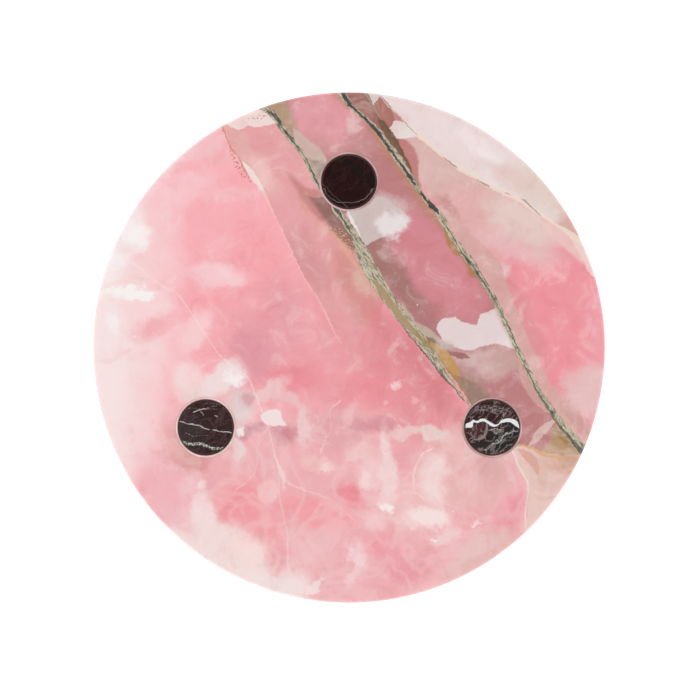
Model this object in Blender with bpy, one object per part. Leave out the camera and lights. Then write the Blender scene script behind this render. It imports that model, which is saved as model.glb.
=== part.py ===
# A round slice of pink onyx, polished flat on both faces, standing on three dark marble feet.
# Each foot is a turned peg that goes right through a bore in the slice and shows on top as a disc.
# Tinted resin fills the narrow ring between peg and bore.
# Metres, +Z up. The origin is on the surface it stands on, under the middle of the slice.

import math

import bmesh
import bpy

MM = 0.001

# Slice
SLICE_DIAMETER = 320 * MM
SLICE_THICKNESS = 20 * MM
SLICE_RIM_RADIUS = 1.6 * MM
SLICE_SEGMENTS = 144

# Feet
FOOT_DIAMETER = 35 * MM
FOOT_BELOW_SLICE = 25 * MM
FOOT_ABOVE_SLICE = 0.8 * MM
FOOT_TOP_BEVEL = 1.3 * MM
FOOT_BASE_BEVEL = 1.0 * MM
FOOT_CIRCLE_RADIUS = 103 * MM
FOOT_ANGLES = {"back": 90, "left": 210, "right": 330}

# Bores and the resin in them
BORE_DIAMETER = 37.6 * MM
BORE_CHAMFER = 0.3 * MM
RESIN_RECESS = 0.3 * MM
FIT_GAP = 0.3 * MM
ROUND_SEGMENTS = 48
ARC_STEPS = 3

# How far a cutter reaches past the faces that it opens
CUTTER_OVERRUN = 5 * MM

SLICE_UNDERSIDE = FOOT_BELOW_SLICE
SLICE_TOP = SLICE_UNDERSIDE + SLICE_THICKNESS


def clear_scene():
    for obj in list(bpy.data.objects):
        bpy.data.objects.remove(obj)


def stone_material(name, colour, roughness):
    material = bpy.data.materials.new(name)
    material.use_nodes = True
    shader = material.node_tree.nodes["Principled BSDF"]
    shader.inputs["Base Color"].default_value = (*colour, 1)
    shader.inputs["Roughness"].default_value = roughness
    shader.inputs["Metallic"].default_value = 0
    return material


def corner_arc(centre_radius, centre_height, radius, start_degrees):
    """Points (radius, height) of a quarter circle, running clockwise from start_degrees."""
    points = []
    for step in range(ARC_STEPS + 1):
        angle = math.radians(start_degrees - 90 * step / ARC_STEPS)
        points.append((centre_radius + radius * math.cos(angle), centre_height + radius * math.sin(angle)))
    return points


def turned_profile(outer_radius, low, high, top_rounding, base_rounding):
    """A solid of revolution's outline, from the axis at the top round to the axis at the base."""
    top = corner_arc(outer_radius - top_rounding, high - top_rounding, top_rounding, 90)
    base = corner_arc(outer_radius - base_rounding, low + base_rounding, base_rounding, 0)
    return [(0, high), *top, *base, (0, low)]


def turn(name, profile, segments, closed_profile=False):
    """Spins an outline about Z into one closed mesh whose faces point out."""
    mesh = bpy.data.meshes.new(name)
    shape = bmesh.new()
    points = [shape.verts.new((radius, 0, height)) for radius, height in profile]
    edges = [shape.edges.new(pair) for pair in zip(points, points[1:])]
    if closed_profile:
        edges.append(shape.edges.new((points[-1], points[0])))
    bmesh.ops.spin(
        shape,
        geom=points + edges,
        cent=(0, 0, 0),
        axis=(0, 0, 1),
        angle=math.tau,
        steps=segments,
        use_merge=True,
    )
    bmesh.ops.remove_doubles(shape, verts=shape.verts, dist=0.001 * MM)
    bmesh.ops.recalc_face_normals(shape, faces=shape.faces)
    shape.to_mesh(mesh)
    shape.free()
    mesh.shade_smooth()
    mesh.set_sharp_from_angle(angle=math.radians(40))
    obj = bpy.data.objects.new(name, mesh)
    bpy.context.scene.collection.objects.link(obj)
    return obj


def foot_place(angle_degrees):
    angle = math.radians(angle_degrees)
    return FOOT_CIRCLE_RADIUS * math.cos(angle), FOOT_CIRCLE_RADIUS * math.sin(angle), 0


def bore_cutter(side, angle_degrees):
    """A turned cutter: straight through the slice, flared at both faces to ease the bore's edges."""
    bore = BORE_DIAMETER / 2
    flare = bore + BORE_CHAMFER + CUTTER_OVERRUN
    profile = [
        (0, SLICE_TOP + CUTTER_OVERRUN),
        (flare, SLICE_TOP + CUTTER_OVERRUN),
        (bore, SLICE_TOP - BORE_CHAMFER),
        (bore, SLICE_UNDERSIDE + BORE_CHAMFER),
        (flare, SLICE_UNDERSIDE - CUTTER_OVERRUN),
        (0, SLICE_UNDERSIDE - CUTTER_OVERRUN),
    ]
    cutter = turn(f"cutter_{side}", profile, ROUND_SEGMENTS)
    cutter.location = foot_place(angle_degrees)
    cutter.hide_render = True
    cutter.display_type = "WIRE"
    return cutter


def onyx_slice(material):
    """The slab itself: a disc with softly rounded rims and three bores."""
    profile = turned_profile(
        SLICE_DIAMETER / 2, SLICE_UNDERSIDE, SLICE_TOP, SLICE_RIM_RADIUS, SLICE_RIM_RADIUS
    )
    obj = turn("onyx_slice", profile, SLICE_SEGMENTS)
    obj.data.materials.append(material)
    for side, angle in FOOT_ANGLES.items():
        bore = obj.modifiers.new(f"bore_{side}", "BOOLEAN")
        bore.operation = "DIFFERENCE"
        bore.object = bore_cutter(side, angle)
    return obj


def marble_foot(side, angle, material):
    """A peg turned from dark marble, with an eased edge at each end."""
    profile = turned_profile(
        FOOT_DIAMETER / 2, 0, SLICE_TOP + FOOT_ABOVE_SLICE, FOOT_TOP_BEVEL, FOOT_BASE_BEVEL
    )
    obj = turn(f"marble_foot_{side}", profile, ROUND_SEGMENTS)
    obj.location = foot_place(angle)
    obj.data.materials.append(material)
    return obj


def resin_joint(side, angle, material):
    """The ring of set resin between the peg and its bore, a little below both faces of the slice."""
    inner = FOOT_DIAMETER / 2 + FIT_GAP
    outer = BORE_DIAMETER / 2 - FIT_GAP
    high = SLICE_TOP - RESIN_RECESS
    low = SLICE_UNDERSIDE + RESIN_RECESS
    profile = [(inner, high), (outer, high), (outer, low), (inner, low)]
    obj = turn(f"resin_joint_{side}", profile, ROUND_SEGMENTS, closed_profile=True)
    obj.location = foot_place(angle)
    obj.data.materials.append(material)
    return obj


def build():
    clear_scene()
    onyx = stone_material("polished pink onyx", (0.82, 0.33, 0.36), 0.12)
    marble = stone_material("polished dark red marble", (0.035, 0.014, 0.013), 0.14)
    resin = stone_material("pink tinted resin", (0.66, 0.34, 0.32), 0.2)
    onyx_slice(onyx)
    for side, angle in FOOT_ANGLES.items():
        marble_foot(side, angle, marble)
        resin_joint(side, angle, resin)


build()
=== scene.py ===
import math

import bmesh
import bpy
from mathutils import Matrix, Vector


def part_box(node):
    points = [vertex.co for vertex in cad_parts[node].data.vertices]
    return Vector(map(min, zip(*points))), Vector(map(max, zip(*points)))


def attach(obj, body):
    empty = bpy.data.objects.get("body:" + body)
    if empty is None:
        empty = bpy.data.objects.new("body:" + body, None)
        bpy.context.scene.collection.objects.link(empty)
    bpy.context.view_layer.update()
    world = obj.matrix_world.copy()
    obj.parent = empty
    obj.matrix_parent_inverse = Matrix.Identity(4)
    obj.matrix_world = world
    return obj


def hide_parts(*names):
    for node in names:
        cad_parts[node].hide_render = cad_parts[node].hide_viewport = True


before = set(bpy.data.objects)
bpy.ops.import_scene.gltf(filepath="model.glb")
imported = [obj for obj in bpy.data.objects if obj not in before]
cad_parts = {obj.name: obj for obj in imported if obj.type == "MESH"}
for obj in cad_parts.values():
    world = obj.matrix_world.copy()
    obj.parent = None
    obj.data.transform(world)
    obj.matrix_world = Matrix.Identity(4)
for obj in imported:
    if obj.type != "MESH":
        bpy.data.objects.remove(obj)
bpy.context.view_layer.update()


# Camera. It looks almost straight down on the polished top, from a little towards the left and right feet,
# and its small shift only puts the slice where the photograph has it.
top_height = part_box("onyx_slice")[1][2]
lean = math.radians(4.5)
away = 1.328
# In the photograph's pixels.
picture_width, shift_across, shift_up = 700, 1.01, -5.04
camera = bpy.data.objects.new("camera", bpy.data.cameras.new("camera"))
camera.location = (0, -away * math.sin(lean), top_height + away * math.cos(lean))
camera.rotation_euler = (lean, 0, 0)
camera.data.lens = 109.33
camera.data.sensor_width = 36
camera.data.shift_x = shift_across / picture_width
camera.data.shift_y = shift_up / picture_width
bpy.context.scene.collection.objects.link(camera)
bpy.context.scene.camera = camera


# Onyx slice. A round slab sawn from a block of pink onyx, both faces and the rim ground and polished,
# the rim's edges eased by hand. Three bores were drilled through it with a core bit, for the feet.
slice_radius = 0.160
slice_low, slice_top = 0.025, 0.045
rim_easing = 0.0016
bore_radius = 0.0188
bore_easing = 0.0003
# Widths of the narrow bands of faces inside the rim's and round the bores' easings.
rim_band, bore_band = 0.006, 0.0015
rim_steps, round_steps = 360, 96
foot_circle = 0.103
foot_places = {
    side: Vector((foot_circle * math.cos(math.radians(turn)), foot_circle * math.sin(math.radians(turn)), 0))
    for side, turn in (("back", 90), ("left", 210), ("right", 330))
}


def eased(corner, outward, easing, steps=5):
    """A rounded corner in an outline: points of the arc that cuts (radius, height) back by the easing."""
    radius, height = corner
    side, up = outward
    points = []
    for step in range(steps + 1):
        angle = math.radians(90 * step / steps)
        back, down = easing * (1 - math.sin(angle)), easing * (1 - math.cos(angle))
        points.append((radius - side * back, height - up * down))
    return points


def turned(mesh, outline, centre, steps, closed=False):
    """Spins an outline of (radius, height) round an upright axis, as a lathe or a core bit leaves it."""
    points = [mesh.verts.new((centre[0] + radius, centre[1], height)) for radius, height in outline]
    edges = [mesh.edges.new(pair) for pair in zip(points, points[1:])]
    if closed:
        edges.append(mesh.edges.new((points[-1], points[0])))
    bmesh.ops.spin(
        mesh, geom=points + edges, cent=(centre[0], centre[1], 0), axis=(0, 0, 1),
        angle=math.tau, steps=steps, use_merge=True,
    )


# Corners nearer to each other than this are one.
touching = 1e-6


def finished(name, mesh, material):
    """Closes a worked shape, turns its faces outwards and puts it on the slice's frame."""
    bmesh.ops.remove_doubles(mesh, verts=mesh.verts, dist=touching)
    bmesh.ops.recalc_face_normals(mesh, faces=mesh.faces)
    data = bpy.data.meshes.new(name)
    mesh.to_mesh(data)
    mesh.free()
    data.shade_smooth()
    data.materials.append(material)
    piece = bpy.data.objects.new(name, data)
    bpy.context.scene.collection.objects.link(piece)
    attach(piece, "root")
    return piece


def shade(code):
    """A colour read as sRGB hex, turned to linear."""
    parts = [int(code[i:i + 2], 16) / 255 for i in (0, 2, 4)]
    return (*[part / 12.92 if part <= 0.04045 else ((part + 0.055) / 1.055) ** 2.4 for part in parts], 1)


def add(tree, kind, inputs, **settings):
    """Adds a shader node with its settings, and links or fills the sockets given."""
    node = tree.nodes.new(f"ShaderNode{kind}")
    for name, value in settings.items():
        setattr(node, name, value)
    for key, value in inputs.items():
        if isinstance(value, bpy.types.NodeSocket):
            tree.links.new(value, node.inputs[key])
        else:
            node.inputs[key].default_value = value
    return node


def blank(name):
    """A new material, its node tree and its surface shader."""
    material = bpy.data.materials.new(name)
    material.use_nodes = True
    return material, material.node_tree, material.node_tree.nodes["Principled BSDF"]


# Settings of every gradual change from one value to another.
smooth = {"interpolation_type": "SMOOTHSTEP", "clamp": False}


def clouded(tree, stone, under, clouds):
    """A bed with its clouds: soft bodies of other colour, deeper than the slice, whose edges fade.

    Each gives its colour, x, y, half length, half width, turn in degrees, amount and soft share.
    """
    half_depth = 70
    turned_stone = {0: stone}
    for code, x, y, long, short, turn, amount, soft in clouds:
        if turn not in turned_stone:
            turned_stone[turn] = add(tree, "VectorRotate", {
                "Vector": stone, "Angle": math.radians(-turn),
            }, rotation_type="Z_AXIS").outputs[0]
        cosine, sine = math.cos(math.radians(turn)), math.sin(math.radians(turn))
        within = add(tree, "VectorMath", {
            0: turned_stone[turn], 1: (1 / long, 1 / short, 1 / half_depth),
            2: (-(x * cosine + y * sine) / long, -(y * cosine - x * sine) / short, 0),
        }, operation="MULTIPLY_ADD")
        out = add(tree, "VectorMath", {0: within.outputs[0]}, operation="LENGTH")
        fade = 0.7 * soft
        share = add(tree, "MapRange", {
            "Value": out.outputs["Value"], "From Min": 1 + fade, "From Max": 1 - fade, "To Max": amount,
        }, **smooth)
        under = add(tree, "Mix", {0: share.outputs[0], 6: under, 7: shade(code)}, data_type="RGBA").outputs[2]
    return under


def ways(tree, stone, headings):
    """For each heading in degrees: its direction, and how far along and to each side of it a point lies."""
    found = []
    for heading in headings:
        ahead = Vector((math.cos(math.radians(heading)), math.sin(math.radians(heading)), 0))
        aside = Vector((-ahead.y, ahead.x, 0))
        along, left, right = [
            add(tree, "VectorMath", {0: stone, 1: way}, operation="DOT_PRODUCT").outputs["Value"]
            for way in (ahead, aside, -aside)
        ]
        length = add(tree, "CombineXYZ", {0: along, 1: along, 2: along})
        sides = add(tree, "CombineXYZ", {0: right, 1: left})
        found.append((ahead, aside, length.outputs[0], sides.outputs[0]))
    return found


def seam(tree, headings, under, colour, line, amount, soft, grain=None):
    """A seam or sharp-edged patch of other colour that follows a line in the stone, pointed at both ends.

    The colour is a hex code, or what a bed or a filling gives. The line lists x, y and the seam's reach to
    the left and to the right of its run there, or one reach for both sides, in millimetres. Where a grain
    is given, the colour shows only in its grains.
    """
    line = [(x, y, left, *(right or [left])) for x, y, left, *right in line]
    run = Vector((line[-1][0] - line[0][0], line[-1][1] - line[0][1], 0)).normalized()
    ahead, aside, length, sides = max(headings, key=lambda heading: abs(run.dot(heading[0])))
    if run.dot(ahead) < 0:
        line = [(x, y, right, left) for x, y, left, right in reversed(line)]
        run = -run
    across = Vector((-run.y, run.x, 0))
    edges = []
    for side, column in ((1, 2), (-1, 3)):
        places = [Vector((*row[:2], 0)) + side * row[column] * across for row in line]
        edges.append(sorted((place.dot(ahead), place.dot(aside)) for place in places))
    # Past each end the two edges cross by a little, which closes the seam in a point.
    crossing = 0.3
    for end, way in ((0, -1), (-1, 1)):
        x, y, left, right = line[end]
        tip = way * (max(way * edge[end][0] for edge in edges) + left + right)
        middle = Vector((x, y, 0)).dot(aside)
        for edge, side in zip(edges, (1, -1)):
            edge.insert(0 if end == 0 else len(edge), (tip, middle - crossing * side))
    course = add(tree, "VectorCurve", {"Vector": length})
    course.mapping.use_clip = False
    course.mapping.extend = "HORIZONTAL"
    for curve, edge in zip(course.mapping.curves, edges):
        while len(curve.points) < len(edge):
            curve.points.new(0.5, 0)
        for point, place in zip(curve.points, edge):
            point.location = place
            point.handle_type = "AUTO_CLAMPED"
    course.mapping.update()
    inside = add(tree, "VectorMath", {
        0: course.outputs[0], 1: (1, -1, 0), 2: sides,
    }, operation="MULTIPLY_ADD")
    split = add(tree, "SeparateXYZ", {0: inside.outputs[0]})
    depth = add(tree, "Math", {i: split.outputs[i] for i in range(3)}, operation="SMOOTH_MIN")
    fade = soft * sum(row[2] + row[3] for row in line) / len(line) / 2
    share = add(tree, "MapRange", {
        "Value": depth.outputs[0], "From Max": fade, "To Max": amount,
    }, **smooth)
    factor = share.outputs[0]
    if grain is not None:
        factor = add(tree, "Math", {0: factor, 1: grain}, operation="MULTIPLY").outputs[0]
    colour = shade(colour) if isinstance(colour, str) else colour
    return add(tree, "Mix", {0: factor, 6: under, 7: colour}, data_type="RGBA").outputs[2]


def beyond(line, reach=300):
    """Everything on the left-hand side of a line: a seam that reaches far to that side only."""
    return [(x, y, reach, 0.01) for x, y in line]


# Polished onyx is banded calcite: glossy, with light that sinks in a little and softens its colours.
onyx, tree, shader = blank("polished pink onyx")

# Object coordinates in millimetres, measured down from the polished top. The beds dip, so that a vein
# leans as it goes down through the slice.
place = add(tree, "TexCoord", {})
mm = add(tree, "VectorMath", {
    0: place.outputs["Object"], 1: (1000, 1000, 1000), 2: (0, 0, -1000 * slice_top),
}, operation="MULTIPLY_ADD").outputs[0]
level = add(tree, "SeparateXYZ", {0: mm})
dipped = add(tree, "VectorMath", {
    0: level.outputs[2], 1: (0.35, 0.2, 0), 2: mm,
}, operation="MULTIPLY_ADD").outputs[0]
# Slow drift and fuzz of the soft clouds, and the ragged edge of everything that broke and healed: how far
# each pushes a place about, in millimetres, and its noise.
drift_reach, fuzz_reach, crumble_reach = 16, 13, 3.2
drift = add(tree, "TexNoise", {"Vector": mm, "Scale": 0.045, "Detail": 3, "Roughness": 0.55})
drifted = add(tree, "VectorMath", {
    0: drift.outputs["Color"], 1: (drift_reach,) * 3, 2: dipped,
}, operation="MULTIPLY_ADD")
crumble = add(tree, "TexNoise", {"Vector": mm, "Scale": 0.28, "Detail": 4, "Roughness": 0.65})
fuzz = add(tree, "TexNoise", {"Vector": mm, "Scale": 0.13, "Detail": 5, "Roughness": 0.8})
fuzzed = add(tree, "VectorMath", {
    0: fuzz.outputs["Color"], 1: (fuzz_reach,) * 3, 2: drifted.outputs[0],
}, operation="MULTIPLY_ADD")
soft_stone = add(tree, "VectorMath", {
    0: fuzzed.outputs[0], 1: (-(drift_reach + fuzz_reach) / 2,) * 3,
}, operation="ADD").outputs[0]
crumbled = add(tree, "VectorMath", {
    0: crumble.outputs["Color"], 1: (crumble_reach,) * 3, 2: dipped,
}, operation="MULTIPLY_ADD")
hard_stone = add(tree, "VectorMath", {
    0: crumbled.outputs[0], 1: (-crumble_reach / 2,) * 3,
}, operation="ADD").outputs[0]
headings = ways(tree, hard_stone, (-55, 0, -90))

# The broad pink bed on the left and along the bottom.
left_bed = clouded(tree, soft_stone, shade("FCB2B9"), (
    ("EFB2B6", 10, -152, 280, 112, 0, 1, 0.35),
    ("F0A7AE", -22, -4, 66, 46, -35, 0.95, 0.8),
    ("E6959B", 36, -18, 52, 26, -52, 1, 0.8),
    ("DB868C", 50, -20, 30, 9, -55, 0.8, 0.9),
    ("E39CA5", -60, -3, 15, 19, 0, 0.9, 0.9),
    ("E5A0A7", -42, 26, 10, 26, 20, 0.7, 0.9),
    ("F8A9B0", -56, 60, 18, 26, 20, 0.7, 0.9),
    ("EE929C", -33, -20, 17, 8, 0, 0.8, 0.9),
    ("EE969D", 12, -28, 22, 12, 0, 0.7, 0.9),
    # The pale side on the left.
    ("FCC9CC", -124, 50, 20, 70, 0, 0.95, 0.7),
    ("FAD7D7", -152, -12, 37, 92, 0, 1, 0.6),
    ("FAE3E2", -162, -8, 24, 98, 0, 1, 0.6),
    ("FBEEEE", -150, 62, 13, 34, -28, 1, 0.8),
    ("FBD9DC", -112, 115, 36, 5, 45, 0.8, 0.9),
    ("FCD6D7", -128, 26, 14, 12, 0, 0.8, 0.8),
    ("FDF3F2", -132, 68, 7, 9, 0, 0.8, 0.7),
    ("F5A7AE", -121, 12, 13, 6, 30, 0.7, 1),
    ("FDF1EF", -137, 32, 16, 3.4, 12, 0.95, 0.5),
    ("FDF1EF", -127, 34, 4, 3, 0, 0.9, 0.5),
    ("FBEFEE", -148, 12, 7, 4, -40, 0.8, 0.7),
    ("FBCFD2", -83, 46, 19, 6, 0, 0.8, 0.7),
    ("FBCDD0", -90, 41, 7, 7, 0, 0.8, 0.8),
    ("FBCDD0", -74, 43, 12, 4, -15, 0.8, 0.7),
    ("FCD1D2", -111, 44, 3.6, 3, 30, 0.9, 0.6),
    ("F8A7AE", -85, 28, 14, 5, 5, 0.8, 0.9),
    ("FCD3D3", -96, 10, 7, 14, -35, 0.85, 0.8),
    ("FAAEB5", -105, 30, 6, 5, 0, 0.6, 0.9),
    ("FCCBCF", -104, 99, 20, 8, 20, 0.8, 0.9),
    ("F9C2C5", -72, 96, 24, 3.6, 4, 0.8, 0.7),
    ("F2B1B4", -80, 120, 7, 16, -60, 0.8, 0.9),
    ("F5C4C7", -89, 127, 19, 6, 40, 0.8, 0.9),
    # Round the left foot.
    ("F9D9D8", -101, -20, 9, 13, 0, 0.9, 0.8),
    ("EFD6D3", -92, -30, 11, 6, 0, 0.9, 0.8),
    ("F3DDDC", -78, -20, 14, 8.5, 25, 0.95, 0.5),
    ("FAF0EF", -72, -21, 6, 4, -35, 0.9, 0.6),
    ("E3D0CE", -68, -38, 9, 12, 0, 0.95, 0.8),
    ("F1C9C9", -50, -29, 12, 5.5, 28, 0.9, 0.6),
    ("D9A3A8", -64, -33, 5, 3.5, 0, 0.8, 0.8),
    ("D295A0", -60, -54, 10, 4.5, 20, 0.85, 0.7),
    ("D38C94", -41, -57, 9, 5, 0, 0.85, 0.8),
    ("F3E8E8", -66, -54, 3, 3, 0, 0.95, 0.6),
    ("ECD1D0", -69, -66, 5, 7.5, 0, 0.95, 0.5),
    ("E6A9A6", -108, -60, 6, 14, 25, 0.8, 0.9),
    ("DC9893", -102, -72, 13, 5.5, 0, 0.85, 0.8),
    ("F2B7BD", -112, -90, 24, 17, -42, 0.95, 0.5),
    ("F3C4C8", -99, -88, 8, 11, 0, 0.8, 0.6),
    ("F8DEDD", -92, -87, 3.5, 2.8, 0, 0.9, 0.7),
    ("F3A0A7", -66, -98, 17, 15, 0, 0.95, 0.6),
    ("F7DBDB", -91, -106, 8.5, 14, 0, 0.95, 0.4),
    # The lower left and the bottom.
    ("F2DAD7", -80, -134, 44, 21, -32, 1, 0.3),
    ("F0BBC0", -109, -108, 13, 6, -42, 0.85, 0.8),
    ("F8DAD6", -61, -126, 10, 10, 0, 0.8, 0.7),
    ("F1E2DF", -48, -149, 22, 6, -22, 0.9, 0.7),
    ("F3A7AC", -48, -113, 9, 13, 0, 0.9, 0.7),
    ("EDA4AB", -44, -131, 3.6, 4, 0, 0.5, 0.9),
    ("F4E3E1", -32, -144, 9, 9, 20, 0.9, 0.6),
    ("F4E0DE", -21, -149, 7, 3, 35, 0.9, 0.6),
    ("F4A5AB", -20, -104, 24, 9, -15, 0.9, 0.6),
    ("EE9099", 2, -95, 10, 7, -30, 0.9, 0.9),
    ("F2BEC0", -28, -132, 12, 11, 0, 0.8, 0.7),
    ("F7D6D8", 6, -132, 6, 8, 0, 0.95, 0.6),
    ("F3CACC", 3, -144, 3, 8, -25, 0.9, 0.7),
    ("F1A5AD", 21, -128, 14, 8, 0, 0.9, 0.9),
    ("ECA0A8", 33, -140, 15, 8, 0, 0.9, 0.9),
    ("F2CBCA", 61, -120, 9, 4, 30, 0.85, 0.7),
    ("FCEAE8", 54.5, -122, 1.3, 1, 0, 0.9, 0.5),
    ("E6BDB9", 84, -128, 28, 10, 42, 0.9, 0.7),
    # The mottled cloud to the left of the right foot.
    ("E7ABAF", -8, -52, 22, 14, 0, 0.9, 0.7),
    ("DA99A0", 16, -50, 16, 5, 0, 0.85, 0.8),
    ("F0C0C1", -37, -34, 12, 4, -25, 0.9, 0.6),
    ("F1CACA", -28, -53, 4.5, 15, 0, 0.95, 0.6),
    ("F3C2C1", -18, -75, 14, 4.5, -12, 0.9, 0.7),
    ("F6D7D3", -14, -77, 4, 2, 0, 0.9, 0.8),
    ("F0BDBE", 0, -44, 3.5, 10, -15, 0.7, 0.7),
    ("F1C4C3", 8, -67, 9.5, 7, 0, 0.9, 0.5),
    ("F3C5C6", 14, -79, 9, 8, 0, 0.85, 0.7),
    ("F6D5D4", 12, -84, 3.5, 4, 0, 0.9, 0.7),
    ("F5C7C8", 15, -111, 8, 7.5, 0, 0.95, 0.6),
    ("EAB5B4", 72, -80, 30, 26, 0, 0.95, 0.5),
    ("E0ADAC", 88, -74, 10, 14, 0, 0.8, 0.8),
    ("F1C2C1", 40, -98, 24, 16, 0, 0.9, 0.6),
    ("EDA9AF", 35, -72, 6, 12, -10, 0.9, 0.7),
    ("F4D2D2", 24, -76, 4.6, 24, 3, 0.95, 0.5),
    ("EFC8C6", 36, -54, 11, 4, 14, 0.9, 0.6),
    ("EACECA", 54, -55, 10, 4.5, -22, 0.95, 0.6),
    ("F5DAD7", 53, -84, 8, 15, 0, 0.9, 0.7),
    ("F8E1DE", 49, -108, 15, 6, -3, 0.95, 0.6),
    ("FBECEB", 24.5, -102, 3.8, 2.4, -30, 0.9, 0.6),
    ("FCECEB", 78, -109.5, 2.4, 2.4, 0, 1, 0.4),
    ("EC9DA6", 101, -103, 14, 10, 40, 0.95, 0.6),
    ("EDA8AD", 70, -108, 9, 5, 0, 0.8, 0.8),
    ("F6CFD2", 31, -24, 3, 2.5, 0, 0.9, 0.8),
    ("F4B9BE", 21, -37, 1.6, 1.4, 0, 0.8, 0.7),
    ("F3B8BE", 41, -34, 2, 1.6, 0, 0.7, 0.8),
))

# The filling of the veins: calcite and dark mineral drawn out in threads along the vein, and loose grains.
thread_way = add(tree, "VectorRotate", {
    "Vector": dipped, "Angle": math.radians(56),
}, rotation_type="Z_AXIS")
thread_place = add(tree, "VectorMath", {0: thread_way.outputs[0], 1: (0.24, 1, 0.6)}, operation="MULTIPLY")
thread = add(tree, "TexNoise", {
    "Vector": thread_place.outputs[0], "Scale": 0.85, "Detail": 4, "Roughness": 0.75, "Distortion": 0.6,
})
fillings = []
for first, between, last, last_stop in (
    ("3F403B", ((0.36, "5D5A4E"), (0.43, "8F8873"), (0.5, "B5AA93"), (0.57, "D6CDBA"), (0.63, "BFA57C")),
     "E3DCCC", 0.72),
    ("2B2E30", ((0.54, "45484A"), (0.62, "6B695F")), "9A957F", 0.7),
):
    ramp = add(tree, "ValToRGB", {0: thread.outputs[0]})
    marks = ramp.color_ramp.elements
    for stop, code in between:
        marks.new(stop).color = shade(code)
    marks[0].color, marks[-1].color, marks[-1].position = shade(first), shade(last), last_stop
    fillings.append(ramp.outputs[0])
threads, dark_threads = fillings
loose = add(tree, "TexNoise", {"Vector": mm, "Scale": 0.75, "Detail": 3, "Roughness": 0.7})
grain = add(tree, "MapRange", {
    "Value": loose.outputs[0], "From Min": 0.52, "From Max": 0.6,
}, **smooth).outputs[0]

# The dusty bed between the crack and the left vein.
crack_line = [
    (-90, 165, 100, 0.01), (-79, 137, 100, 0.01), (-72, 121, 100, 0.01), (-66, 111, 100, 0.01),
    (-55, 99, 100, 0.01), (-47, 82, 80, 0.01), (-38, 63, 70, 0.01), (-28, 42, 60, 0.01), (-18, 26, 52, 0.01),
    (-11, 12, 40, 0.01), (-6, 2, 20, 0.01), (0, -8, 3, 0.01),
]
dusty_bed = clouded(tree, soft_stone, shade("E5A5A7"), (
    ("E3B0A9", -68, 124, 18, 7, -62, 0.9, 0.7),
    ("EEC1BE", -54, 107, 16, 6, -55, 0.95, 0.7),
    ("E8A7AB", -40, 84, 14, 8, -60, 0.7, 0.8),
    ("D79799", -26, 54, 20, 9, -62, 0.9, 0.8),
    ("D5948B", 6, 38, 28, 10, -56, 0.95, 0.8),
    ("DC9B95", 12, 22, 14, 9, -56, 0.7, 0.9),
    ("DDB7A9", 9, 39, 9, 4.5, -55, 0.9, 0.8),
))
left_bed = seam(tree, headings, left_bed, dusty_bed, crack_line, 0.9, 0.03)
left_bed = clouded(tree, soft_stone, left_bed, (
    ("EAA2A7", -4, 2, 18, 12, -40, 0.8, 0.9),
    ("DE8C90", 22, 10, 22, 5, -56, 0.8, 0.9),
))
# The brown island against the left vein, which ends sharply at a peach thread on its lower side, and the
# white patches at the rim and beside the crack. Each patch gives its colour, amount, softness and line.
for tone, amount, soft, line in (
    ("C98881", 0.85, 0.6, (
        (-40, 108, 3, 0.3), (-34, 96, 9, 0.3), (-29, 88, 16, 0.4), (-23, 81, 20, 0.4), (-17, 75, 20, 0.4),
        (-11, 69.5, 18, 0.4), (-6, 65, 14, 0.4), (-1, 60, 9, 0.4), (2, 56, 3, 0.2))),
    ("946A64", 0.9, 0.5, (
        (-25, 92, 3, 1), (-19, 85, 14, 2), (-14, 79, 16, 2.5), (-9, 73, 16, 2.5), (-4, 67, 12, 2.5),
        (1, 61, 6, 2))),
    ("E0A98E", 0.85, 0.6, (
        (-37, 98, 0.3), (-31, 90, 0.8, 0.7), (-27, 84, 0.8, 0.7), (-22, 79, 0.7), (-17, 74, 0.8),
        (-11, 69, 1, 0.9), (-6, 64.5, 1.1, 1), (-2, 59, 1.2), (3, 52, 1.1), (9, 43, 0.9), (15, 35, 0.5))),
    ("F1DEDA", 0.92, 0.25, (
        (-79, 141, 1), (-73, 141, 4), (-68, 141, 6, 5.5), (-63, 141.5, 7, 3.5), (-58, 142, 7, 4.6),
        (-52, 142, 6, 4), (-47, 141, 2, 1.5), (-43, 140, 0.3))),
    ("F2E2DA", 0.9, 0.5, (
        (-68, 116, 0.2), (-64, 110, 3.2, 0.8), (-60, 104, 3.4, 1.2), (-57, 100.5, 2.4, 1.2), (-53, 96, 0.2))),
):
    left_bed = seam(tree, headings, left_bed, tone, line, amount, soft)
# Rusty and straw-coloured grains in the white patch, beside the crack and under the island.
for tone, amount, soft, line in (
    ("C98A72", 0.8, 0.8, ((-64, 143, 1), (-58, 143, 4, 3), (-52, 145, 3, 2), (-46, 142, 2), (-42, 138, 1))),
    ("A95C4C", 0.8, 0.6, ((-74, 122, 1, 1.5), (-70, 115, 1.5, 3.5), (-66, 109, 1.5, 3.5), (-62, 103, 1))),
    ("DDBB88", 0.8, 0.5, ((-14, 75, 1), (-8, 68.5, 6, 2), (-2, 62, 6, 2), (4, 55, 3, 1))),
):
    left_bed = seam(tree, headings, left_bed, tone, line, amount, soft, grain)

# The pale corner at the lower right, past a ragged cream edge.
corner_line = [
    (100, -61), (103, -69), (107, -79), (111, -89), (110.5, -99), (111, -106), (108.5, -113), (109, -122),
]
corner_bed = clouded(tree, soft_stone, shade("E4C2B8"), (
    ("CDA58B", 138, -71, 14, 8, -10, 0.95, 0.7),
    ("D9AF9C", 124, -76, 9, 7, 0, 0.9, 0.8),
))
left_bed = seam(tree, headings, left_bed, corner_bed, beyond(corner_line, 60), 0.95, 0.01)

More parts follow.
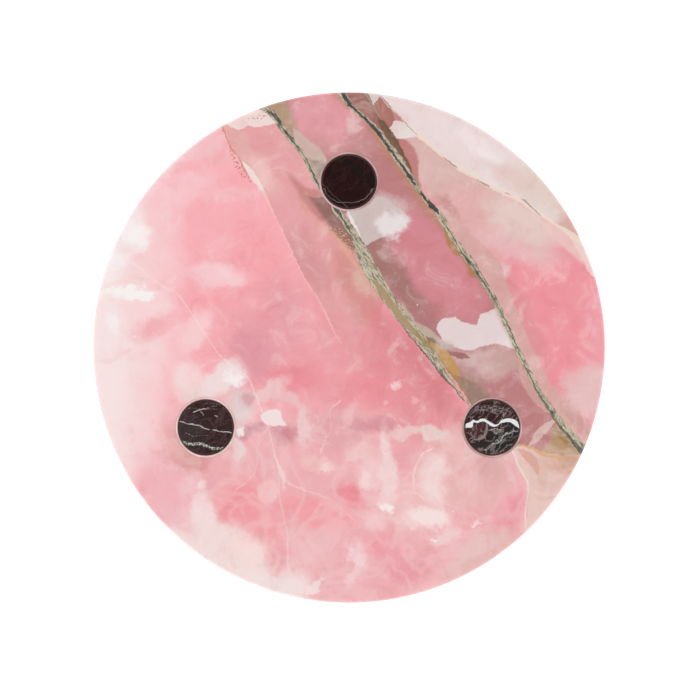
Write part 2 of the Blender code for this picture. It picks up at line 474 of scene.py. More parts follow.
# The strip between the two veins.
strip_bed = clouded(tree, soft_stone, shade("C18384"), (
    ("E4A1A7", -14, 143, 25, 22, 0, 1, 0.5),
    ("D49B9B", -18, 127, 10, 6, -30, 0.8, 0.9),
    ("CB9192", 8, 127, 16, 9, 0, 0.8, 0.8),
    ("E2BCBA", 3, 138, 4, 5, 0, 0.9, 0.6),
    ("D88D95", 56, 50, 44, 18, -55, 0.95, 0.5),
    ("A97973", 27, 46, 38, 8, -55, 0.95, 0.9),
    ("D3B8B6", 20, 90, 17, 7, -10, 0.9, 0.8),
    ("B87C80", 47, 15, 12, 7, -30, 0.8, 0.9),
    ("D6B4B1", 84, -11, 17, 9, -5, 0.95, 0.7),
    ("CBA39E", 99, -9, 9, 9, 0, 0.8, 0.8),
    ("B78D85", 74, -20, 10, 6, -30, 0.8, 0.9),
))
for tone, amount, soft, line in (
    # The grey-white patch under the back foot with its bright edge, the white one lower down and the brown
    # streak under it, and what lies between the right foot and the rim.
    ("D4C3BF", 0.92, 0.1, (
        (-2, 82, 1), (4, 80, 8, 7), (10, 77, 15, 15.5), (16, 78, 16, 13.5), (22, 80, 13), (28, 80, 8, 10),
        (33, 79, 6, 7.5), (38, 78, 1))),
    ("EFE6DF", 0.9, 0.7, ((-2, 87, 0.6, 0.5), (0, 82, 1, 0.9), (3, 76, 1.2, 1), (6, 71, 0.6), (8, 67, 0.1))),
    ("E7D7D7", 0.93, 0.12, (
        (54, 10, 0.5), (57, 10, 6, 4), (60, 9, 8.5, 8), (65, 8, 10, 9), (69, 7, 8.5, 9.5), (74, 6, 8, 10),
        (79, 6, 7, 10), (81, 7, 12.5, 9.5), (86, 8, 13.5, 9), (91, 9, 15, 9), (97, 8, 16, 9),
        (110, 5, 16, 9))),
    ("9C5D5C", 0.75, 0.6, (
        (57, -3, 0.5), (61, -5, 2.5, 1.5), (65, -5, 1, 2), (70, -7, 2.6, 2.2), (76, -8, 0.3))),
    ("DFC3BA", 0.7, 0.5, (
        (110, -64, 0.3), (115, -60, 2), (120, -54.5, 3.5, 2.4), (126, -48.5, 1.6, 2), (131, -45, 0.3))),
    ("B9997A", 0.95, 0.12, (
        (131, -46, 0.5), (130, -52, 4, 3), (130, -58, 12, 5.5), (131, -63, 20, 9), (132, -68, 20, 13),
        (132, -80, 20, 13))),
    ("A27C52", 0.8, 0.9, ((128, -52, 1), (133, -58, 4, 3), (139, -64, 5, 3), (146, -70, 5, 3))),
    # The tan and grey zones beside the left vein.
    ("B59B7E", 0.92, 0.95, (
        (-54, 162, 14, 8), (-46, 152, 10, 8), (-41, 145, 8, 7), (-37, 138, 6.5, 6), (-33, 131, 4.5, 4),
        (-28, 122, 1, 2))),
    ("D2BAB0", 0.92, 0.35, (
        (-34, 137, 0.5, 2), (-28, 128, 3.4, 6), (-22, 120, 6), (-17, 112, 6), (-12, 104, 5, 6))),
    ("A38C81", 0.8, 0.9, ((-24, 118, 1, 3), (-19, 113, 5), (-15, 105, 5), (-11, 97, 3, 4))),
    ("C4B4A0", 0.85, 0.5, ((34, 26, 0.3, 2), (41, 14, 2, 4), (46, 9, 4), (51, 4, 5, 4), (57, 0, 2))),
    ("8C7360", 0.9, 0.5, ((43, 7, 0.5, 2), (48, 3, 3, 4), (53, 0, 4), (58, -2, 2.6, 4), (63, -8, 1, 3))),
    ("C7995C", 0.95, 0.3, (
        (53, 1, 0.6, 3), (57, -5, 4.4, 4), (60, -10, 5.2, 4), (64, -15.5, 4.6, 4), (68, -21, 3, 4),
        (72, -26, 0.5, 2))),
    ("A5855A", 0.75, 0.8, (
        (49, 1, 0.4, 2), (53, -4, 2.6, 2), (57, -10, 2.2, 2), (61, -16, 2.2, 2), (66, -22, 1.6, 2),
        (71, -28, 0.3, 1))),
    ("9B8071", 0.85, 0.5, (
        (64, -18, 0.5, 2), (70, -23, 4, 5), (76, -27, 5, 8), (84, -33, 5, 9), (92, -40, 3, 9))),
    # The rusty stain along the left side of the right vein, deepest in a few pockets.
    ("BE8A68", 0.62, 1, (
        (-10, 164, 3, 6), (-4, 157, 3, 6), (0, 152, 3, 5), (5, 147, 3, 4), (13, 139, 3, 4.4),
        (20, 130, 3, 5.4), (27, 120, 3, 5.6), (34, 111, 3, 6), (41, 101, 3, 6), (47, 92, 3, 6),
        (53, 84, 3, 6.6), (58, 77, 3, 5.6), (63, 70, 3, 5), (67, 65, 3, 6.6), (71, 59, 3, 6.6),
        (75, 53, 3, 4.4), (79, 47, 3, 6.2), (83, 42, 3, 3.6), (89, 32, 3, 3.6), (95, 20, 3, 4.4),
        (101, 7, 3, 4.2), (108, -8, 3, 4), (115, -22, 3, 4), (121, -34, 3, 3.6), (130, -46, 2))),
    ("AF8248", 0.7, 0.8, (
        (60, 72, 1), (65, 66, 2, 5.6), (69, 61, 2, 6.2), (72, 56, 2, 2.6), (76, 51, 2, 3.4), (79, 46, 2, 5),
        (82, 42, 1))),
    ("D3A69D", 0.8, 0.5, ((108, -14, 1, 3), (112, -22, 2, 5), (118, -32, 2, 5), (124, -41, 1, 2))),
):
    strip_bed = seam(tree, headings, strip_bed, tone, line, amount, soft)
strip_bed = clouded(tree, soft_stone, strip_bed, (
    ("EADFDF", 27, 77, 11, 7.5, 12, 0.95, 0.5),
    ("CDB8AE", 60, 1, 7, 4, -30, 0.8, 0.8),
    ("AD8B6C", 65, -22, 15, 3, -55, 0.9, 0.6),
))
strip_bed = seam(tree, headings, strip_bed, "C9A063", (
    (114, -64, 1), (122, -65, 4), (130, -65, 7, 5), (138, -65, 8, 5), (150, -68, 5)), 0.9, 0.5, grain)

# The field to the right of the right vein, and the pale bed above the thin cream vein.
right_bed = clouded(tree, soft_stone, shade("F09AA3"), (
    ("E09699", 107, 18, 36, 8, -64, 0.9, 0.9),
    ("EFA5AD", 157, 10, 7, 50, 0, 0.8, 0.9),
    ("C9928C", 26, 138, 34, 13, -50, 1, 0.5),
    ("DEB8B3", 68, 104, 46, 18, -40, 1, 0.4),
    ("E3B1AF", 80, 80, 24, 17, -50, 0.95, 0.6),
    ("CB918E", 60, 88, 9, 5, -55, 0.85, 0.9),
    ("D3A29E", 72, 70, 12, 4, -55, 0.8, 0.9),
    ("EABBBD", 108, 62, 26, 9, -14, 0.9, 0.8),
    ("E7CBC5", 107, 77, 24, 12, -32, 1, 0.6),
    ("E8C7C7", 91, 50, 8, 5.5, -10, 0.95, 0.4),
    ("E8C1C0", 150, -30, 18, 15, 0, 0.95, 0.5),
    ("D29F9A", 142, -48, 18, 6, -50, 0.95, 0.7),
))
for tone, amount, soft, line in (
    ("D9ABA5", 0.9, 0.3, (
        (58, 88, 0.3, 4), (64, 78, 4.5, 6), (70, 70, 5, 6), (76, 62, 7, 6), (82, 56, 7.5, 6),
        (88, 48, 8.5, 6), (92, 40, 7, 6), (97, 30, 5.5, 6), (101, 20, 5, 6), (105, 10, 5, 6), (110, -2, 5, 6),
        (115, -13, 5, 6), (120, -24, 6), (126, -35, 6), (133, -45, 3, 4), (142, -57, 3, 4),
        (150, -67, 3, 4))),
    ("A16C63", 0.95, 0.22, (
        (-8, 170, 8, 6), (0, 164, 10, 6), (4, 159, 9, 6), (8, 153, 7.4, 6), (13, 147, 5.4, 6),
        (17, 142, 3, 6), (20, 138, 1, 4))),
    ("B0766D", 0.92, 0.25, (
        (17, 160, 1, 4), (20, 153, 5), (24, 145, 4.5, 5), (28, 138, 2, 5), (31, 131, 1, 3))),
    ("C27C79", 0.9, 0.7, (
        (27, 135, 1, 2), (31, 130, 4), (36, 123, 6, 5), (40, 115, 5), (43, 106, 2, 4), (46, 99, 0.5, 2))),
    ("DCCFC9", 0.92, 0.12, (
        (15.5, 166, 7, 6), (15.5, 158, 4.6, 3.2), (15.8, 154.5, 1.6, 1.4), (15.5, 151.5, 0.3))),
    ("A2978A", 0.85, 0.5, (
        (8, 164, 0.8), (14, 153, 0.8), (17, 148, 0.9), (19.5, 143.5, 0.8), (21, 138, 0.8))),
    ("E9DDD9", 0.95, 0.25, (
        (25.5, 137, 0.5), (28, 136.5, 6, 5), (34, 135.5, 6), (40, 134.5, 4), (47, 132, 0.6))),
    ("6F573F", 0.88, 0.4, (
        (19, 144, 0.3, 1), (23, 137, 2.4, 3), (27, 130.5, 2.8, 3), (31, 123.5, 2.6, 3), (35, 116.5, 2),
        (40, 108, 0.4, 0.6))),
    ("EDC9C5", 0.85, 0.9, (
        (118, 78, 3, 1), (128, 69, 8, 4), (136, 63, 8, 4), (144, 55, 6, 3), (150, 48, 2, 1))),
    ("F0D3CF", 0.85, 0.25, ((139, 70, 0.5, 1), (143, 63, 4, 2), (148, 55, 4, 2.4), (152, 45, 3, 1.4))),
):
    right_bed = seam(tree, headings, right_bed, tone, line, amount, soft)
upper_bed = clouded(tree, soft_stone, shade("EBD9D7"), (
    ("F4E8E6", 84, 124, 16, 5, -34, 0.8, 0.9),
    ("E4D0C8", 118, 98, 22, 12, -42, 1, 0.6),
    ("E5C9C2", 100, 106, 14, 5, -36, 0.8, 0.9),
    ("D9AFA4", 140, 75, 10, 13, 0, 1, 0.7),
))

# Each bed ends at a vein, on the line that the vein's middle follows.
left_vein = [
    (-66, 168), (-57, 150), (-45, 143), (-40, 134), (-34, 126), (-28, 117), (-22, 107), (-18, 99), (-12, 90),
    (-4, 80), (3, 69), (9, 58), (15, 47), (22, 36), (30, 24), (38, 14), (45, 4), (52, -5), (60, -15),
    (68, -25), (76, -38), (88, -51), (103, -62.5), (112, -63.5), (120, -67), (147, -69), (175, -72),
]
right_vein = [
    (-9, 168), (-4, 160), (1, 152), (9, 144), (17, 136), (22, 128), (29, 119), (36, 109), (43, 100), (49, 91),
    (55, 84), (61, 75), (67, 66), (74, 55), (82, 44), (89, 32), (95, 20), (101, 7), (108, -8), (115, -22),
    (121, -34), (130, -46), (140, -58), (150, -71), (160, -84),
]
cream_vein = [
    (14, 168), (20, 158), (29, 147), (42, 134), (55, 123), (70, 111), (85, 102), (100, 94.5), (110, 89),
    (120, 82), (131, 75), (145, 64), (160, 52),
]
colour = seam(tree, headings, left_bed, strip_bed, beyond(left_vein), 1, 0.003)
colour = seam(tree, headings, colour, right_bed, beyond(right_vein), 1, 0.003)
colour = seam(tree, headings, colour, upper_bed, beyond(cream_vein), 1, 0.003)

# A veil over all of it: faint milky wisps, slightly deeper patches, and scattered white specks.
veil = add(tree, "TexNoise", {
    "Vector": mm, "Scale": 0.055, "Detail": 6, "Roughness": 0.68, "Distortion": 0.8,
})
milky = add(tree, "MapRange", {
    "Value": veil.outputs[0], "From Min": 0.5, "From Max": 0.74, "To Max": 0.34,
}, **smooth)
# Along the bottom the milky growth is folded into thin curling wisps.
fold = add(tree, "TexNoise", {
    "Vector": mm, "Scale": 0.028, "Detail": 3, "Roughness": 0.55, "Distortion": 0.9,
})
from_fold = add(tree, "Math", {0: fold.outputs[0], 1: 0.5}, operation="SUBTRACT")
off_fold = add(tree, "Math", {0: from_fold.outputs[0]}, operation="ABSOLUTE")
wisp = add(tree, "MapRange", {
    "Value": off_fold.outputs[0], "From Min": 0.085, "From Max": 0, "To Max": 0.2,
}, **smooth)
low = add(tree, "MapRange", {
    "Value": level.outputs[1], "From Min": -25, "From Max": -60,
}, **smooth)
low_wisp = add(tree, "Math", {0: wisp.outputs[0], 1: low.outputs[0]}, operation="MULTIPLY")
milky = add(tree, "Math", {0: milky.outputs[0], 1: low_wisp.outputs[0]}, operation="MAXIMUM")
deeper = add(tree, "MapRange", {
    "Value": veil.outputs[0], "From Min": 0.5, "From Max": 0.3, "To Max": 0.4,
}, **smooth)
colour = add(tree, "Mix", {0: milky.outputs[0], 6: colour, 7: shade("FBE7E4")}, data_type="RGBA").outputs[2]
colour = add(tree, "Mix", {
    0: deeper.outputs[0], 6: colour, 7: shade("F4DCDC"),
}, data_type="RGBA", blend_type="MULTIPLY").outputs[2]
speck = add(tree, "TexVoronoi", {"Vector": mm, "Scale": 0.045})
specks = add(tree, "MapRange", {
    "Value": speck.outputs["Distance"], "From Min": 0.035, "From Max": 0.02, "To Max": 0.6,
}, **smooth)
colour = add(tree, "Mix", {0: specks.outputs[0], 6: colour, 7: shade("FAF2F0")}, data_type="RGBA").outputs[2]

# The filled veins themselves, the ragged edges at the lower right, and the healed cracks.
for tone, amount, soft, line in (
    # The left vein, its dark strands and its tan heart.
    (threads, 0.97, 0.25, (
        (-68, 160, 3), (-61, 154, 3, 2.6), (-54, 150, 2.6, 2.4), (-47, 144, 3, 2.2), (-41, 136, 2.4),
        (-35, 128, 2.2, 2), (-29, 119.5, 2, 1.8), (-25, 112, 2, 1.8), (-21, 104, 2.4, 1.8), (-17, 97, 2, 1.5),
        (-12, 91, 2.4, 2), (-8, 85, 2.6, 2.5), (-3, 78, 2.6, 2.4), (2, 71, 2.8, 2.4), (5, 65, 3.6, 3),
        (8, 58, 5, 4.4), (11, 51, 5.2, 5), (14.5, 45, 5.2, 4.8), (18, 39, 5, 4.4), (22, 33, 4.6, 4.2),
        (27, 26, 4.2, 4), (32, 19, 4), (37, 13, 4), (42, 7, 4), (47, 1, 3.4, 4), (51, -5, 3, 3.8),
        (56, -12, 2, 3.4), (61, -18.5, 1.4, 2.8), (66, -25, 1, 1.8), (71, -32, 0.8, 1.2), (78, -41, 0.7, 1))),
    (dark_threads, 0.82, 0.8, (
        (-54, 150, 0.3), (-50, 146.5, 1.6, 1), (-47, 144.5, 2.2, 1.4), (-44.5, 141, 2.2, 1.2),
        (-42.5, 138, 0.6), (-40, 134.5, 1.2, 1.6), (-37, 131, 1.4), (-33, 126, 1, 0.7), (-29, 120, 0.9, 0.4),
        (-24, 111, 1, 0.5), (-20, 102, 1.1, 0.8), (-16, 96, 0.5))),
    (dark_threads, 0.85, 0.5, (
        (-14, 93, 0.3), (-11, 89, 1.4, 0.6), (-5, 80, 1.4, 0.5), (1, 71.5, 0.6, 0.5), (7, 63, 0.2))),
    ("B09673", 0.93, 0.4, (
        (15, 42, 0.3), (19.5, 36, 1.6, 2.6), (24, 29.5, 2.2, 2.9), (29, 22.5, 2.2, 2.9), (34, 16, 2.2, 2.8),
        (39, 10, 2, 2.4), (43, 5, 0.8))),
    ("A58A55", 0.8, 0.8, ((41, 9, 0.3), (45, 4, 2, 1.6), (49, 0, 2, 1.6), (54, -5, 0.3))),
    (dark_threads, 0.7, 0.5, (
        (32, 13, 0.01), (39, 4.5, 0.3, 0.4), (46, -3.5, 0.5, 0.7), (53, -12, 0.5, 0.9), (60, -21, 0.4, 1.2),
        (66, -27, 0.3, 0.9), (72, -35, 0.2, 0.6))),
    # The right vein, its dark strands and a black lens.
    (threads, 0.97, 0.25, (
        (-9, 169, 2, 3), (-3, 158, 1.8, 3), (1, 152, 1.6, 2), (9, 144, 1.8, 1.6), (17, 136.5, 2, 1.8),
        (22, 129, 2.4, 1.8), (29, 119.5, 3, 2.2), (35, 110.5, 2.8, 2), (41, 102, 2, 1.8), (46, 95, 1.7, 1.8),
        (50, 90, 1.8, 2), (55, 84, 2.2, 2), (59, 78, 2.4), (63, 71, 1.9, 2.2), (67, 65, 2, 2.2),
        (71, 59, 2.2, 2.4), (76, 52.5, 2.6, 2.4), (81, 45.5, 2.2), (86, 37, 1.9, 2), (91, 29, 1.9, 2),
        (95, 20.5, 2, 2.1), (99, 12, 1.9), (104, 0.5, 2), (109, -10, 2), (114, -20, 2), (119, -30, 2.2),
        (125, -39, 2.4), (131, -47.5, 2.6), (137, -55, 3), (143, -62, 3.2), (152, -73, 3.4))),
    (dark_threads, 0.95, 0.5, (
        (-8, 168, 1.4, 1.8), (-3, 158, 1.5, 1.7), (0, 153, 1.2, 1.4), (5, 148, 0.9, 1.1), (10, 143, 1, 1.1),
        (14, 139, 1.4, 1.2), (19, 133, 1.6, 1.4), (24, 126, 1.2), (28, 120.5, 0.9, 1), (32, 115, 1, 1.1),
        (36, 109, 1.4, 1.2), (39, 104.5, 1.3, 1.2), (42, 100.5, 0.3))),
    ("3C4042", 0.92, 0.4, (
        (44, 97.5, 0.2), (47, 93.5, 1), (49.5, 90.5, 1), (51.5, 88, 1.9, 1.8), (54.5, 85, 1.9, 1.6),
        (56.5, 82, 0.3))),
    (dark_threads, 0.75, 0.6, (
        (58, 80, 0.01, 0.3), (62, 72, 0.8, 0.1), (66, 65.5, 0.9, 0.01), (70, 60, 0.2, 0.9),
        (74, 55, 0.2, 1.6), (77, 51, 0.5, 1.3), (82, 43, 0.7, 0.9), (89, 31.5, 0.9, 0.4), (94, 22, 0.9, 0.01),
        (100, 10, 0.9, 0.01), (106, -4, 0.4, 0.6), (113, -19, 0.3, 0.8), (119, -31, 0.4, 1.2),
        (125, -40, 0.5, 1.4), (131, -49, 0.3, 1.8), (139, -59, 0.4, 1.8), (147, -68, 0.5, 2.2))),
    # Peach, cream and amber edges past the right foot.
    ("DBA597", 0.8, 0.6, (
        (104, -64.5, 0.3), (109, -67, 2, 3), (114, -71, 3, 4), (117, -76, 2, 3.5), (118, -82, 0.3))),
    ("EFDCD2", 0.8, 0.6, (
        (100, -62, 0.5), (103, -70, 1.2, 0.6), (107, -79, 1.2, 0.6), (111, -88, 1, 0.4), (110, -99, 0.6, 0.4),
        (109, -113, 0.8, 0.6))),
    ("DDAF80", 0.85, 0.6, (
        (100, -62, 0.8), (108, -62.6, 0.9), (113, -64, 1, 1.2), (118, -67, 1.2, 1.4), (125, -69.5, 1, 1.2),
        (134, -70.5, 0.7))),
    # The thin cream vein with its short dark dashes.
    ("EEDCCD", 0.85, 0.7, (
        (17, 162, 0.6), (21, 156, 0.9), (26, 150, 0.7), (33, 144, 0.8), (38, 139, 0.9), (44, 132, 1.6),
        (50, 127, 1.6), (56, 122, 1.6), (62, 117, 1.4), (68, 112.5, 1.6, 1.9), (75, 108.5, 2.4), (80, 106, 2),
        (87, 101.5, 1.6, 2), (94, 97.5, 1.4, 1.8), (101, 94, 1.4, 1.8), (108, 90.5, 1.2, 1.5),
        (116, 85.5, 1.2, 1.5), (124, 80, 1.4, 1.5), (131, 75, 1.4, 1.6), (137, 71, 2), (142, 67.5, 2.2),
        (152, 60, 2.2))),
    ("8A6B5B", 0.6, 0.6, (
        (21, 157, 0.01, 0.4), (27, 150, 0.01, 0.5), (33, 144, 0.01, 0.3), (38, 138, 0.01, 0.7),
        (42, 134, 0.01, 0.6), (45, 131, 0.01), (58, 119.5, 0.01), (61, 117.5, 0.4, 0.5),
        (67, 112.5, 0.4, 0.5), (69, 111, 0.01), (79, 105.3, 0.01), (82, 103.5, 0.4, 0.6),
        (87, 100.5, 0.5, 0.6), (89, 99.5, 0.01), (97, 96.5, 0.01), (100, 95.2, 0.4), (103, 94, 0.01),
        (107, 92.6, 0.01), (110, 91, 0.45, 0.4), (114, 87.5, 0.5, 0.4), (119, 82.5, 0.3), (121, 81, 0.01))),
    # Healed cracks: pale hairlines through the pink.
    ("C98C66", 0.7, 0.7, (
        (-82, 143, 0.4), (-77, 131, 0.7, 0.6), (-74, 124, 0.8, 0.7), (-70, 119, 0.5), (-67, 113, 0.7, 0.6),
        (-64, 107, 0.4))),
    ("F3CBC8", 0.6, 0.7, (
        (-55, 99, 0.4), (-47, 82, 0.5), (-38, 63, 0.5), (-28, 42, 0.5), (-18, 26, 0.5), (-13, 16, 0.8),
        (-9, 8, 0.5), (-4, 0, 0.2))),
    ("FBE4E0", 0.5, 0.7, (
        (-138, 54, 0.3), (-125, 43, 0.5), (-116, 36, 0.9, 0.6), (-108, 33, 0.5), (-100, 22, 0.6),
        (-92, 10, 0.5), (-84, -2, 0.5), (-77, -10, 0.6), (-70, -15.5, 0.7), (-63, -21, 0.6), (-60, -27, 0.6),
        (-56, -37, 0.6), (-51, -50, 0.6), (-48, -60, 0.5), (-46, -69, 0.6), (-43.5, -76, 1.2, 1.4),
        (-41, -82, 1.6, 1.8), (-40, -88, 0.3))),
    ("F3E2E0", 0.95, 0.45, (
        (-55.5, -44, 0.5), (-53, -44, 3.5, 4), (-49, -45, 6), (-45, -46, 6), (-42, -48, 2, 3.4),
        (-38, -50, 0.4, 0.6))),
    ("F7CCCB", 0.6, 0.7, (
        (-57.5, -86, 0.5), (-54, -88, 6, 8), (-49, -89, 8, 12), (-45, -90, 9, 12), (-43, -90, 8, 10),
        (-42, -92, 0.4))),
    ("F7DAD6", 0.45, 0.7, (
        (-44, -78, 0.4), (-43, -95, 0.7), (-40.5, -107, 0.6), (-38, -120, 0.6, 0.7), (-38, -135, 0.8),
        (-35.5, -144, 1), (-30, -154, 1))),
    ("F7D6D3", 0.5, 0.7, (
        (-40, -84, 0.7), (-33, -88.5, 0.8, 0.7), (-27, -90.5, 0.6, 0.5), (-18, -93.5, 0.5), (-11, -97, 0.4),
        (-3, -103, 0.3), (4, -110, 0.2))),
    ("F3D3D0", 0.4, 0.7, (
        (-51, -52, 0.5), (-57, -60, 0.5), (-57, -72, 0.5), (-60, -81, 0.5), (-66, -87, 0.5),
        (-71, -91, 0.2))),
    ("F3CDCB", 0.6, 0.6, (
        (-5, -34, 0.3), (-12, -42, 0.4), (-11, -50, 0.4), (-15, -60, 0.5), (-18, -68, 0.4))),
    ("F7DDDA", 0.6, 0.6, (
        (52, -64, 0.3), (46, -68, 0.5), (42, -75, 0.6), (40, -84, 0.7, 0.6), (41, -91, 0.4), (47, -97, 0.2))),
):
    colour = seam(tree, headings, colour, tone, line, amount, soft)

tree.links.new(colour, shader.inputs["Base Color"])
shader.inputs["Roughness"].default_value = 0.12
shader.inputs["IOR"].default_value = 1.5
shader.inputs["Subsurface Weight"].default_value = 0.35
shader.inputs["Subsurface Radius"].default_value = (1, 0.45, 0.4)
shader.inputs["Subsurface Scale"].default_value = 0.004

body = bmesh.new()
turned(body, [
    (slice_radius - rim_band, slice_top),
    *eased((slice_radius, slice_top), (1, 1), rim_easing),
    *eased((slice_radius, slice_low), (1, -1), rim_easing)[::-1],
    (slice_radius - rim_band, slice_low),
], (0, 0, 0), rim_steps)
for spot in foot_places.values():
    turned(body, [
        (bore_radius + bore_band, slice_top),
        *eased((bore_radius, slice_top), (-1, 1), bore_easing, 2),
        *eased((bore_radius, slice_low), (-1, -1), bore_easing, 2)[::-1],
        (bore_radius + bore_band, slice_low),
    ], spot, round_steps)
bmesh.ops.remove_doubles(body, verts=body.verts, dist=touching)
for height in (slice_top, slice_low):
    rings = [
        edge for edge in body.edges
        if edge.is_boundary and all(abs(vert.co.z - height) < touching for vert in edge.verts)
    ]
    bmesh.ops.triangle_fill(body, edges=rings, use_beauty=True)
slab = finished("onyx_slab", body, onyx)
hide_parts("onyx_slice")


# Marble feet. Three pegs turned from dark red marble, each with an eased edge, pushed up through the bores
# until they stand a little proud of the top, and polished.
foot_radius = 0.0175
foot_top = 0.0458
foot_bevel, base_bevel = 0.0013, 0.001
face_band = 0.0025

# What shows on each foot: its two ground tones, the tone of its hair-thin healed cracks and the scale of
# their web, then its clouds, its broken veins and its whole veins. Among the back foot's whole veins is a
# painted highlight along its eased edge.
marble_marks = {
    "back": ("27100E", "1F0C0A", "33191A", 0.1, (
        ("171614", 4, 111, 15, 2.2, -33, 0.7, 0.9),
    ), (), (
        ("5E4A44", 0.7, 0.7, (
            (-19, 104, 0.1), (-16, 101, 0.3, 0.25), (-11, 95.5, 0.3, 0.25), (-5, 90, 0.3, 0.25),
            (0, 86, 0.1))),
        # A painted highlight, not a vein: a pale line inside the eased edge on the foot's lower half, where
        # the edge catches the light.
        ("746C63", 0.75, 0.7, (
            (-16.5, 99, 0.1), (-13.5, 94.5, 0.35, 0.3), (-10, 91.3, 0.4, 0.3), (-4, 89.6, 0.35, 0.3),
            (3, 89.6, 0.35, 0.3), (8, 91, 0.5, 0.4), (12.5, 94.5, 0.6, 0.4), (15.5, 99, 0.1))),
    )),
    "left": ("3B2728", "331E1C", "4E3C3C", 0.12, (
        ("3E3436", -99, -53, 9, 9, -10, 0.7, 0.9),
        ("36201D", -84, -46, 10, 5, -10, 0.8, 0.9),
    ), (
        ("9A908E", 0.7, 0.7, (
            (-102, -40.5, 0.1), (-98, -39.6, 0.4, 0.3), (-90, -40, 0.4, 0.3), (-84, -40, 0.4, 0.3),
            (-78, -39.5, 0.4, 0.3), (-74, -39.8, 0.1))),
        ("8A7C7A", 0.75, 0.7, (
            (-92, -37.6, 0.1), (-88, -36.5, 0.4, 0.35), (-84, -36.8, 0.45, 0.4), (-79, -37.4, 0.1))),
        ("8A7C7A", 0.75, 0.7, (
            (-90, -40.5, 0.1), (-86, -38.8, 0.4, 0.35), (-82, -37.8, 0.4, 0.3), (-79, -37.4, 0.1))),
        ("8D807E", 0.8, 0.7, (
            (-102, -54.8, 0.1), (-100, -55.5, 0.35, 0.3), (-96, -57, 0.45, 0.35), (-90, -56.5, 0.35, 0.3),
            (-86, -56.8, 0.1))),
        ("D3D8CC", 0.9, 0.6, (
            (-106, -59.5, 0.2), (-103, -60.5, 1, 0.9), (-98, -62, 1.3, 1.1), (-93, -61.8, 1.3, 1.1),
            (-88, -63.3, 1.4, 1.2), (-83, -64.8, 1, 0.9), (-78, -64.5, 0.8, 0.6), (-74, -63.5, 0.2))),
    ), (
        ("5F675C", 0.7, 0.9, (
            (-106, -60, 0.2), (-103, -61, 1.1, 1), (-98, -62, 1.3, 1.2), (-93, -62, 1.2),
            (-88, -63.5, 1.3, 1.2), (-83, -65, 1.1, 1), (-78, -64.5, 0.8, 0.6), (-74, -63.5, 0.2))),
        ("C3BBB7", 0.85, 0.8, (
            (-106, -47.6, 0.2), (-103.5, -48.2, 0.5, 0.4), (-101, -49.4, 0.3), (-98, -49.6, 0.6, 0.5),
            (-95, -50, 0.45, 0.35), (-92, -51, 0.45, 0.4), (-90, -52.2, 0.5, 0.4), (-88, -52.6, 0.5, 0.4),
            (-86, -53.2, 0.15, 0.1), (-83, -53.4, 0.45, 0.4), (-80, -54.2, 0.3), (-77, -54.3, 0.45, 0.4),
            (-73, -55, 0.4, 0.3), (-71, -55.5, 0.1))),
        ("BDB5B2", 0.85, 0.7, (
            (-97.5, -42.6, 0.1), (-95.5, -41.4, 0.5, 0.4), (-93, -40.6, 0.6, 0.5), (-90.5, -40.1, 0.4, 0.3),
            (-88, -40.3, 0.1))),
        ("9B9290", 0.8, 0.7, ((-93, -41.3, 0.1), (-91.5, -42.6, 0.3), (-90, -44.2, 0.1))),
        ("A89B99", 0.8, 0.7, ((-84, -43.9, 0.1), (-82.7, -44.7, 0.5, 0.4), (-81.6, -45.3, 0.1))),
    )),
    "right": ("3C2626", "2E1C1B", "857371", 0.16, (
        ("252927", 99, -58, 12, 7.5, 20, 0.95, 0.5),
        ("2A2B29", 87, -64, 9, 4, -10, 0.8, 0.9),
        ("4B3130", 79.5, -52, 5, 4.5, 0, 0.8, 0.7),
    ), (
        ("B9B5B0", 0.8, 0.8, (
            (84, -66, 0.5), (88, -63, 1.2), (92, -60.5, 1.5, 1.4), (96, -57, 1.2), (101, -54, 0.9, 0.8),
            (107, -52.5, 0.4))),
        ("9A8B89", 0.8, 0.9, (
            (73, -44, 0.5), (78, -41, 2.4, 2), (84, -39.5, 2.6), (90, -40, 3, 2.6), (96, -40.5, 2.4, 2),
            (102, -41, 0.6))),
        ("A3918F", 0.8, 0.8, ((92, -50, 0.3), (95.5, -45.5, 0.9, 0.8), (98.5, -41, 1, 0.8), (101, -37, 0.3))),
        ("A9A39D", 0.8, 0.9, (
            (86, -50.5, 0.4), (89, -53, 1.6, 1.4), (92, -55, 1.6), (95, -52.5, 1.2, 1.6), (97, -50, 0.3))),
    ), (
        ("8E7A79", 0.9, 0.7, (
            (85.5, -47.5, 0.4), (85.8, -50, 1.2, 1), (85.6, -53, 1.3, 1.1), (84.6, -56, 1.3, 1.1),
            (82, -58.3, 1.4, 1.2), (78.5, -59.8, 1.3, 1.1), (75.5, -60.2, 0.3))),
        ("A8A8A3", 0.85, 0.7, (
            (97, -56.2, 0.1), (99.5, -55.6, 0.45, 0.4), (102, -54.3, 0.5, 0.4), (105, -54, 0.3))),
        ("9DA09B", 0.85, 0.7, (
            (91.5, -61.8, 0.1), (93.5, -60.6, 0.45, 0.4), (95, -59, 0.45, 0.4), (96.5, -56.5, 0.4, 0.3),
            (98, -54.5, 0.1))),
        ("A9A39D", 0.85, 0.7, (
            (86.5, -53.4, 0.1), (88.5, -53.4, 0.5, 0.4), (90.5, -52.4, 0.5, 0.4), (93, -53, 0.4, 0.3),
            (95, -53.5, 0.1))),
        ("E6E6E4", 0.97, 0.35, (
            (70.5, -51, 0.3), (72.5, -50.6, 1.2), (74.5, -49.9, 1.6, 1.9), (76.8, -49.2, 2.2),
            (77.4, -48, 1.4, 0.9), (80, -47.9, 0.7, 0.8), (82, -47.4, 1.1, 0.9), (84, -47, 1.1),
            (86, -48, 1.1, 1.2), (88.5, -49.6, 1.1), (91, -50.6, 0.8, 0.7), (92.5, -50.2, 0.7, 0.8),
            (94.5, -48.2, 1.1, 1), (97, -47.2, 1.1, 1.4), (100, -46.6, 1, 1.9), (102.5, -47.6, 1.4, 2.2),
            (104.5, -49.4, 2, 2.4), (106.5, -51.5, 0.6, 0.8))),
    )),
}


